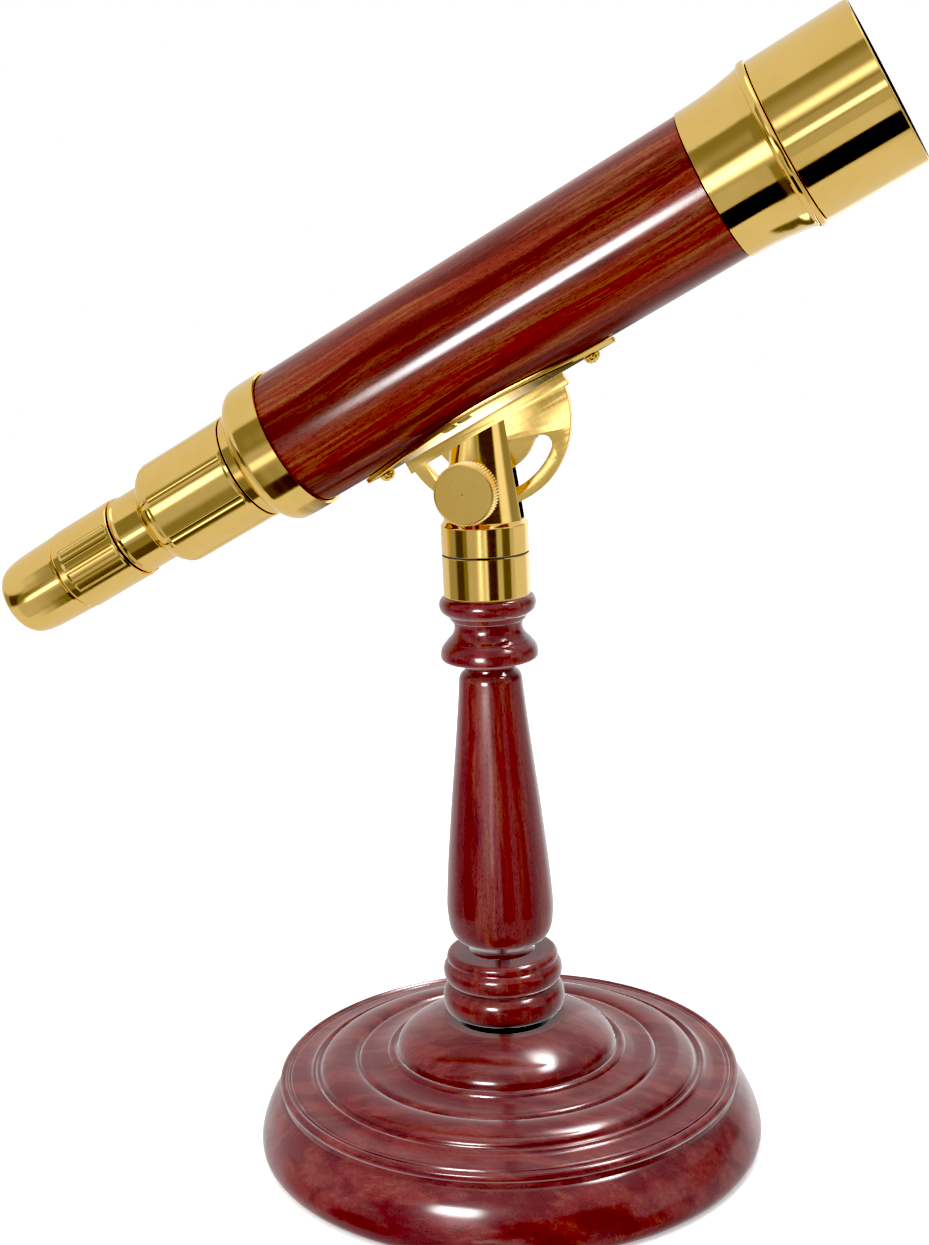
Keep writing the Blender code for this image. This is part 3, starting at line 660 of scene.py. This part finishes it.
def build_saddle():
    """Leaf-shaped plate bent round the tube, with a softened rim."""
    rows, columns = 96, 24
    blunt, taper = 8, 1.1      # how square the tips are, and how full the leaf is
    rim, gap = 0.3, 0.3
    middle = (SADDLE_REAR + SADDLE_FRONT) / 2
    half = (SADDLE_FRONT - SADDLE_REAR) / 2
    inner = WOOD_R + gap
    bm = bmesh.new()
    layers = []
    for inset, radius in ((0.0, inner), (0.0, inner + SADDLE_T - rim), (rim, inner + SADDLE_T)):
        sheet = []
        for i in range(rows + 1):
            u = sin(pi / 2 * (2 * i / rows - 1))
            spread = radians(SADDLE_TIP) * sqrt(max(0.0, 1 - u ** blunt))
            spread += radians(SADDLE_SPREAD - SADDLE_TIP) * (1 - u * u) ** taper
            spread = max(spread - inset / inner, radians(0.8))
            s = middle + (half - inset) * u
            line = []
            for j in range(columns + 1):
                a = spread * (2 * j / columns - 1)
                line.append(bm.verts.new((radius * cos(a) * MM, radius * sin(a) * MM, s * MM)))
            sheet.append(line)
        layers.append(sheet)

    def border(sheet):
        top = [sheet[0][j] for j in range(columns)]
        right = [sheet[i][columns] for i in range(rows)]
        bottom = [sheet[rows][j] for j in range(columns, 0, -1)]
        left = [sheet[i][0] for i in range(rows, 0, -1)]
        return top + right + bottom + left

    for sheet in (layers[0], layers[-1]):
        for i in range(rows):
            for j in range(columns):
                bm.faces.new((sheet[i][j], sheet[i][j + 1], sheet[i + 1][j + 1], sheet[i + 1][j]))
    for low, high in zip(layers, layers[1:]):
        a, b = border(low), border(high)
        for k in range(len(a)):
            n = (k + 1) % len(a)
            bm.faces.new((a[k], a[n], b[n], b[k]))
    plate = finish_mesh("saddle_brass", bm, 40)
    dress(plate, "telescope", BRASS_SADDLE, TUBE, ["saddle_plate"])


def build_screw(name, s, replaced):
    head = [(0.0, 0.0), (0.0, 3.1), (-0.5, 3.1), (-1.8, 2.6), (-2.6, 1.5), (-2.85, 0.0)]
    screw = revolve(name, soften(head, 0.4, False), 64, closed=False, crease=50)
    carve(screw, [box_mesh("slot", (8, 0.75, 1.6), (0, 0, -3.1))])
    screw.data.set_sharp_from_angle(angle=radians(40))
    plate_r, slot_turn = 28.93, radians(25)
    seat = TUBE @ Matrix.Translation((plate_r * MM, 0, s * MM)) @ Matrix.Rotation(-pi / 2, 4, "Y")
    dress(screw, "telescope", BRASS_SCREW, seat @ Matrix.Rotation(slot_turn, 4, "Z"), [replaced])


# ---- the telescope's turned pieces ----
def fluted(angle, count, offset, width):
    """How far an angle is from its nearest flute, in flute half-widths."""
    pitch = 2 * pi / count
    away = (angle - offset + pitch / 2) % pitch - pitch / 2
    return abs(away) / (width / 2)


def focus_shape(angle, z, r):
    """Long narrow flutes between broad panels that are a little flatter than the ring."""
    if r < 18.0 or z > FLUTE_FRONT:
        return r
    away = fluted(angle, FLUTES, FLUTE_PHASE, FLUTE_WIDTH)
    reach = min(1.0, max(0.0, (FLUTE_FRONT - z) / 1.2))
    limit = sqrt(max(0.0, 1 - (1 - reach) ** 2))
    panel_place = fluted(angle, FLUTES, FLUTE_PHASE, 2 * pi / FLUTES)
    if z > PANEL_REAR:
        r -= PANEL_DEPTH * (1 - (1 - panel_place) ** 2) * reach
    if away < limit:
        r -= FLUTE_DEPTH * sqrt(max(0.0, 1 - (away / max(limit, 0.05)) ** 2)) * min(1.0, reach * 1.5)
    return r


def zoom_shape(angle, z, r):
    """Three groups of four flutes, which stop short of the plain bands at both ends."""
    if r < 16.0 or not GRIP_REAR < z < GRIP_FRONT:
        return r
    sector = 2 * pi / GRIP_GROUPS
    spot = (angle - GRIP_PHASE + sector / 2) % sector - sector / 2
    if abs(spot) > 2 * GRIP_PITCH:
        return r
    away = abs(spot % GRIP_PITCH - GRIP_PITCH / 2) / GRIP_HALF
    reach = min(1.0, max(0.0, min(z - GRIP_REAR, GRIP_FRONT - z)))
    return r - GRIP_DEPTH * max(0.0, min(1.0, (1 - away) * 4.0)) * min(1.0, reach * 1.6)


def evenly(start, end, r, step):
    """Evenly spaced points on a straight stretch, for pieces with flutes."""
    count = max(1, int(abs(end - start) / step))
    return [(start + (end - start) * i / count, r) for i in range(count + 1)]


def build_turned():
    hood = soften([(161.0, 29.3), (160.7, 29.6), (124.5, 29.6), (124.5, 29.0), (125.2, 28.6), (132.0, 28.6),
                   (132.0, 28.3), (161.0, 28.3)], 0.25)
    bell_outer = spline([(120.5, 29.35), (118.0, 28.85), (115.0, 28.45), (111.5, 28.0), (107.5, 27.6),
                         (103.5, 27.4), (99.5, 27.35), (97.0, 27.35)])
    bead = spline([(124.2, 29.8), (123.9, 30.35), (122.8, 30.65), (121.6, 30.4), (121.0, 29.7)], 0.25)
    bell_inner = [(96.9, 27.2), (96.9, 23.3), (106.3, 23.3), (106.3, 22.0), (108.5, 22.0), (108.5, 26.9),
                  (131.5, 26.9)]
    bell = [(131.5, 28.2), (124.4, 28.2)] + bead + [(120.8, 29.4)] + bell_outer + bell_inner
    shoulder = spline([(-80.9, 28.15), (-86.0, 28.15), (-92.8, 28.1), (-94.7, 27.6), (-96.3, 26.5),
                       (-97.6, 24.8), (-98.4, 23.1), (-98.9, 21.8)], 0.5)
    neck = soften([(-99.3, 21.35), (-102.9, 21.25), (-102.9, 19.3), (-97.3, 19.3), (-97.3, 23.3),
                   (-90.3, 23.3), (-90.3, 27.05), (-80.9, 27.05)], 0.2, False)
    rear = shoulder + neck
    front_bead = spline([(-147.8, 16.6), (-148.2, 16.5), (-148.5, 15.9)], 0.2)
    rear_bead = spline([(-160.6, 16.1), (-161.3, 16.45), (-162.0, 16.4), (-162.5, 16.0)], 0.2)
    barrel = (soften([(-137.0, 16.5), (-147.5, 16.5)], 0.1, False) + front_bead + [(-160.2, 15.85)]
              + rear_bead + [(-162.7, 15.5), (-162.7, 14.5), (-137.0, 14.5)])
    cup_front = spline([(-192.2, 15.9), (-192.5, 16.35), (-193.4, 16.45)], 0.2)
    cup_round = spline([(-193.6, 16.45), (-203.0, 16.25), (-211.0, 15.95), (-216.0, 15.4), (-219.3, 14.5),
                        (-221.3, 13.1), (-222.2, 11.6), (-222.4, 10.9)], 0.6)
    cup = cup_front + cup_round + [(-221.6, 10.5), (-208.0, 9.9), (-203.3, 9.9), (-203.3, 14.5),
                                   (-192.2, 14.5)]
    cell = soften([(130.0, 26.6), (109.0, 26.6), (109.0, 24.0), (111.0, 24.0), (111.0, 25.3),
                   (130.0, 25.3)], 0.2)
    keeper = soften([(122.0, 25.0), (120.0, 25.0), (120.0, 24.0), (122.0, 24.0)], 0.2)
    pieces = (
        ("hood_brass", hood, 192, "brass", BRASS, "hood"),
        ("bell_brass", bell, 192, "brass", BRASS_BELL, "objective_bell"),
        ("rear_ring_brass", rear, 160, "brass", BRASS_SOFT, "rear_ring"),
        ("barrel_brass", barrel, 128, "brass", BRASS_SOFT, "eyepiece_barrel"),
        ("eyecup_brass", cup, 128, "brass", BRASS_SOFT, "eyecup"),
        ("cell_black", cell, 128, "black_metal", BLACK, "objective_cell"),
        ("keeper_black", keeper, 128, "black_metal", BLACK, "objective_retainer"),
    )
    for name, outline, steps, slot, material, node in pieces:
        dress(revolve(name, outline, steps), "telescope", material, TUBE, [node])
    tube = soften([(96.6, WOOD_R), (-90.0, WOOD_R), (-90.0, 23.4), (96.6, 23.4)], 0.2)
    dress(revolve("tube_wood", tube, 160), "telescope", TUBE_WOOD, TUBE, ["wood_tube"])

    focus_end = spline([(-140.3, 21.6), (-142.0, 21.3), (-143.7, 20.6), (-145.4, 19.2), (-146.6, 17.8),
                        (-147.3, 16.9)], 0.3)
    focus_bore = [(-147.3, 16.8), (-143.5, 16.8), (-143.5, 19.3), (-103.3, 19.3), (-103.3, 21.4)]
    focus = (evenly(-103.4, -107.5, 21.65, 0.2) + evenly(-108.0, -139.8, 21.65, 1.2) + focus_end
             + focus_bore)
    ring = revolve("focus_brass", focus, 480, focus_shape, crease=35)
    dress(ring, "focus_ring", BRASS_SOFT, TUBE, ["focus_ring"])
    zoom_bore = [(-191.2, 16.85), (-191.7, 16.7), (-191.9, 16.4), (-191.9, 14.5), (-163.0, 14.5)]
    zoom = ([(-163.0, 16.5), (-163.3, 16.8)] + evenly(-163.7, -166.2, 16.85, 0.25)
            + evenly(-167.0, -186.0, 16.85, 1.5) + evenly(-186.4, -189.0, 16.85, 0.25) + zoom_bore)
    ring = revolve("zoom_brass", zoom, 480, zoom_shape, crease=35)
    dress(ring, "zoom_ring", BRASS_SOFT, TUBE, ["zoom_ring"])


def lens_outline(rear, front, radius, rear_sag, front_sag, count=12):
    def face(sag, at, side):
        bend = (radius ** 2 + sag ** 2) / (2 * abs(sag))
        points = []
        for i in range(count + 1):
            r = radius * i / count
            drop = sag - (bend - sqrt(bend ** 2 - r ** 2)) * (1 if sag > 0 else -1)
            points.append((at + side * drop, r))
        return points
    return face(front_sag, front, 1) + face(rear_sag, rear, -1)[::-1]


def build_lenses():
    for name, values, node in (("crown_glass", (117.7, 119.5, 25.0, 3.3, 2.4), "crown_lens"),
                               ("eye_glass", (-200.2, -197.9, 12.4, 1.2, 1.6), "eye_lens")):
        lens = revolve(name, lens_outline(*values), 96, closed=False)
        dress(lens, "telescope", GLASS, TUBE, [node])


def paint_frame():
    """Materials for the CAD nodes that stay: the hidden insides."""
    by_slot = {"steel": STEEL, "black_metal": BLACK, "glass": GLASS, "brass": BRASS, "mahogany": TUBE_WOOD,
               "felt": FELT}
    for part in frame["record"]["subparts"]:
        node = frame["nodes"][part["node"]]
        node.data.materials.clear()
        node.data.materials.append(by_slot[part["material_slot"]])


# ---- studio ----
# What the polished brass mirrors: (azimuths, elevations, radiance, softness of each). Azimuth 0 is straight
# in front of the stand, positive to the right.
TENT = (
    ((-46, 97), (-100, 12), 0.62, 3, 4),
    ((-100, -46), (-24, 0), 0.40, 5, 4),
    ((-68, -43), (-22, -1), 0.12, 3, 2),
    ((-43, -33), (-20, -4), 0.25, 2, 3),
    ((-27, 20), (-20, -6), 1.10, 3, 3),
    ((21, 46), (-24, 1), 0.10, 1.5, 3),
    ((61, 84), (-24, 1), 0.16, 2, 3),
    ((5, 65), (2, 18), 0.10, 2, 2),
    ((68, 95), (1, 18), 1.10, 3, 2),
    ((100, 140), (-2, 20), 0.35, 4, 3),
    ((-100, 100), (-100, -61), 0.80, 5, 2),
    ((150, 190), (-20, 30), 1.25, 10, 10),
    ((-200, 200), (68, 100), 1.60, 5, 5),
)

# What the tube's pieces mirror, in the tube's own frame: (angles round it, angles along it, radiance,
# softness of each).
TUBE_TENT = (
    ((-73, 58), (-5.2, 6), 0.30, 2, 0.5),
    ((24, 44), (-5.2, 6), 0.46, 9, 0.5),
    ((17, 24), (-5.2, 6), 2.40, 7, 0.5),
    ((-2, 9), (-5.2, 6), 0.46, 2, 0.5),
    ((-9, -3), (-5.2, 6), 2.60, 2.5, 0.5),
    ((-25, -12), (-5.2, 6), 0.55, 2, 0.5),
    ((-44, -25), (-5.2, 6), 0.72, 1, 0.5),
    ((-73, -44), (-5.2, 6), 0.045, 1, 0.5),
    ((-73, 55), (-33, -5.2), 0.30, 3, 0.5),
    ((20, 34), (-22, -5.2), 0.42, 8, 0.5),
    ((-18, 12), (-33, -5.2), 0.58, 6, 0.5),
    ((-44, -17), (-22, -5.2), 0.60, 1.5, 1.0),
    ((-73, -44), (-22.5, -5.2), 0.045, 1, 0.5),
    ((-73, -45), (-33, -22.5), 0.13, 3, 0.5),
    ((-185, -116), (-22.0, -18.6), 0.20, 4, 0.5),
    ((-185, -116), (-17.7, -15.2), 2.60, 4, 0.5),
    ((-185, -116), (-14.3, -10.5), 0.15, 4, 0.5),
)


def build_world():
    """A light tent: pale all round, dimmer in front, with strips of light and dark gaps."""
    world = bpy.data.worlds.new("tent")
    bpy.context.scene.world = world
    world.use_nodes = True
    tree = world.node_tree
    tree.nodes.clear()
    net = Nodes(tree)
    way = net.add("TexCoord").outputs["Generated"]

    def along_axis(axis):
        return net.add("VectorMath", {0: way, 1: tuple(axis)}, operation="DOT_PRODUCT").outputs["Value"]

    def degrees_of(operation, *values):
        return net.math("MULTIPLY", net.math(operation, *values), 180 / pi)

    def window(value, low, high, soft):
        rise = net.span(value, low - soft, low + soft)
        fall = net.span(value, high - soft, high + soft, 1.0, 0.0)
        return net.math("MULTIPLY", rise, fall)

    def patches(level, turn, height, table):
        for across, up, radiance, soft_turn, soft_height in table:
            mask = net.math("MULTIPLY", window(turn, across[0], across[1], soft_turn),
                            window(height, up[0], up[1], soft_height))
            level = net.add("Mix", {0: mask, 2: level, 3: radiance}, data_type="FLOAT").outputs[0]
        return level

    front = along_axis((0, -1, 0))
    turn = degrees_of("ARCTAN2", along_axis((1, 0, 0)), front)
    level = patches(0.80, turn, degrees_of("ARCSINE", along_axis((0, 0, 1))), TENT)
    axis, down = TUBE.col[2].xyz, TUBE.col[0].xyz
    turn = degrees_of("ARCTAN2", along_axis(-down), front)
    level = patches(level, turn, degrees_of("ARCSINE", along_axis(axis)), TUBE_TENT)
    seen = net.add("LightPath").outputs["Is Camera Ray"]
    shown = net.add("Mix", {0: seen, 2: level, 3: 1.0}, data_type="FLOAT").outputs[0]
    back = net.add("Background", {"Strength": shown, "Color": (1, 1, 1, 1)})
    out = net.add("OutputWorld")
    tree.links.new(back.outputs[0], out.inputs["Surface"])


# Lamps that one turned brass piece mirrors: (name, piece, place along the tube, turn round it, tilt along it,
# size, radiance).
PANELS = (
    ("panel_bell", "bell_brass", 0.110, 0, -17, (0.34, 0.24), 2.2),
    ("panel_ring", "rear_ring_brass", -0.088, -9, -22.7, (0.14, 0.15), 0.9),
    ("panel_focus", "focus_brass", -0.121, 15, -25, (0.22, 0.15), 2.3),
    ("panel_barrel", "barrel_brass", -0.155, -3, -27.4, (0.14, 0.12), 2.3),
    ("panel_zoom", "zoom_brass", -0.177, -3, -29, (0.14, 0.20), 1.0),
    ("panel_eyecup", "eyecup_brass", -0.203, -4, -31, (0.20, 0.12), 2.2),
)
PANEL_AWAY = 0.5           # from the piece to its lamp, in metres


def area(name, place, target, size, radiance, pieces=None, way=(1, 0, 0), core=(0.10, 0.10)):
    """A rectangular lamp, for the given pieces only, or plain diffuse fill.

    Its length lies along the given direction; core is how far from its middle it stays fully bright.
    """
    lamp = bpy.data.lights.new(name, "AREA")
    lamp.shape = "RECTANGLE"
    lamp.size, lamp.size_y = size
    lamp.energy = radiance * pi * size[0] * size[1]
    obj = bpy.data.objects.new(name, lamp)
    bpy.context.scene.collection.objects.link(obj)
    back = (Vector(place) - Vector(target)).normalized()
    side = Vector(way)
    side = (side - back * side.dot(back)).normalized()
    turn = Matrix((side, back.cross(side), back)).transposed()
    obj.matrix_world = Matrix.Translation(place) @ turn.to_4x4()
    obj.visible_camera = False
    obj.visible_glossy = pieces is not None
    obj.visible_diffuse = pieces is None
    if pieces is None:
        return obj
    group = bpy.data.collections.new(name + "_pieces")
    for piece in pieces:
        group.objects.link(piece)
    obj.light_linking.receiver_collection = group
    lamp.use_nodes = True
    net = Nodes(lamp.node_tree)
    spot = net.add("SeparateXYZ", {0: net.add("NewGeometry").outputs["Parametric"]}).outputs
    glow = 1.0
    for axis in (0, 1):
        off = net.math("ABSOLUTE", net.math("SUBTRACT", spot[axis], 0.5))
        glow = net.math("MULTIPLY", net.span(off, core[axis], 0.5, 1.0, 0.0), glow)
    emit = lamp.node_tree.nodes["Emission"]
    net.put(emit.inputs["Strength"], glow)
    return obj


def panel(name, piece, s, turn, tilt, size, radiance):
    """A lamp for one of the tube's turned pieces, where the piece mirrors it to the front at s."""
    axis, up = TUBE.col[2].xyz, -TUBE.col[0].xyz
    turn, tilt = radians(turn), radians(tilt)
    out = Vector((0, -1, 0)) * cos(turn) + up * sin(turn)
    seat = TUBE.translation + axis * s + Vector((0, -0.025, 0))
    place = seat + (out * cos(tilt) + axis * sin(tilt)) * PANEL_AWAY
    area(name, place, seat, size, radiance, [bpy.data.objects[piece]], axis, (0.25, 0.10))


def build_studio():
    bm = bmesh.new()
    bmesh.ops.create_circle(bm, cap_ends=True, segments=96, radius=3.0)
    floor = finish_mesh("floor", bm)
    mat, shader, net, place = new_material("pale_floor")
    grain = net.noise(place, 8.0, 2.0, 0.5)
    net.put(shader.inputs["Base Color"], net.mix(grain, (0.90, 0.90, 0.90, 1), (0.93, 0.93, 0.93, 1)))
    shader.inputs["Roughness"].default_value = 0.8
    shader.inputs["Emission Color"].default_value = (1, 1, 1, 1)
    shader.inputs["Emission Strength"].default_value = 0.30
    floor.data.materials.append(mat)
    floor.visible_glossy = False
    build_world()
    aim = (0, 0, 0.24)
    for name in ("base_wood", "pillar_wood", "felt_pad", "sector_brass", "yoke_brass"):
        bpy.data.objects[name].visible_glossy = False
    meshes = [obj for obj in bpy.data.objects if obj.type == "MESH"]
    wooden = [obj for obj in meshes if "mahogany" in obj.data.materials[0].name]
    tube = [obj for obj in wooden if obj.name == "tube_wood"]
    stand = [obj for obj in wooden if obj.name != "tube_wood"]
    yoke = [bpy.data.objects["yoke_brass"]]
    collar = yoke + [bpy.data.objects["collar_brass"]]
    area("key_tube", (-0.052, -0.51, 0.254), aim, (0.36, 0.17), 70.0, tube, TUBE.col[2].xyz, (0.0, 0.02))
    area("key_stand", (-0.072, -0.51, 0.245), aim, (0.25, 0.22), 42.0, stand)
    area("side_stand", (0.36, 0.13, 0.95), (0, 0, 0.05), (1.10, 0.30), 30.0, stand, (0.63, -0.77, 0))
    area("panel_stem", (-0.265, -0.424, 0.35), (0, 0, 0.27), (0.50, 0.14), 0.7, yoke)
    area("panel_collar", (0.017, -0.489, 0.126), (0, 0, 0.23), (0.22, 0.14), 0.6, collar)
    plate = [bpy.data.objects["sector_brass"]]
    area("panel_plate", (-0.0975, -0.487, 0.262), (0.02, 0, 0.30), (0.18, 0.18), 1.7, plate)
    for row in PANELS:
        panel(*row)
    area("fill_front", (-0.45, -0.95, 0.80), aim, (0.9, 0.9), 3.5)
    area("fill_top", (0.1, 0.2, 1.4), aim, (1.2, 1.2), 3.0)


def build_camera():
    camera = bpy.data.cameras.new("camera")
    camera.sensor_width = 36.0
    camera.lens = 52.0
    camera.shift_x = 0.0677
    camera.shift_y = 0.0739
    camera.clip_start = 0.01
    obj = bpy.data.objects.new("camera", camera)
    bpy.context.scene.collection.objects.link(obj)
    right = Vector((0.94889, 0.31049, -0.05655))
    up = Vector((-0.02677, 0.25773, 0.96585))
    back = right.cross(up)
    turn = Matrix((right, up, back)).transposed().to_4x4()
    obj.matrix_world = Matrix.Translation((0.1755, -0.6421, 0.3509)) @ turn
    bpy.context.scene.camera = obj


build_stand()
build_head()
build_sector()
build_saddle()
build_screw("screw_front_brass", 32.5, "saddle_screw_front")
build_screw("screw_rear_brass", -56.5, "saddle_screw_rear")
build_turned()
build_lenses()
paint_frame()
build_studio()
build_camera()

# The print is strong in contrast: its darkest tones are pulled down to black.
view = bpy.context.scene.view_settings
view.view_transform = "Standard"
view.use_curve_mapping = True
view.curve_mapping.black_level = (BLACK_POINT, BLACK_POINT, BLACK_POINT)
view.curve_mapping.update()

bpy.context.view_layer.update()
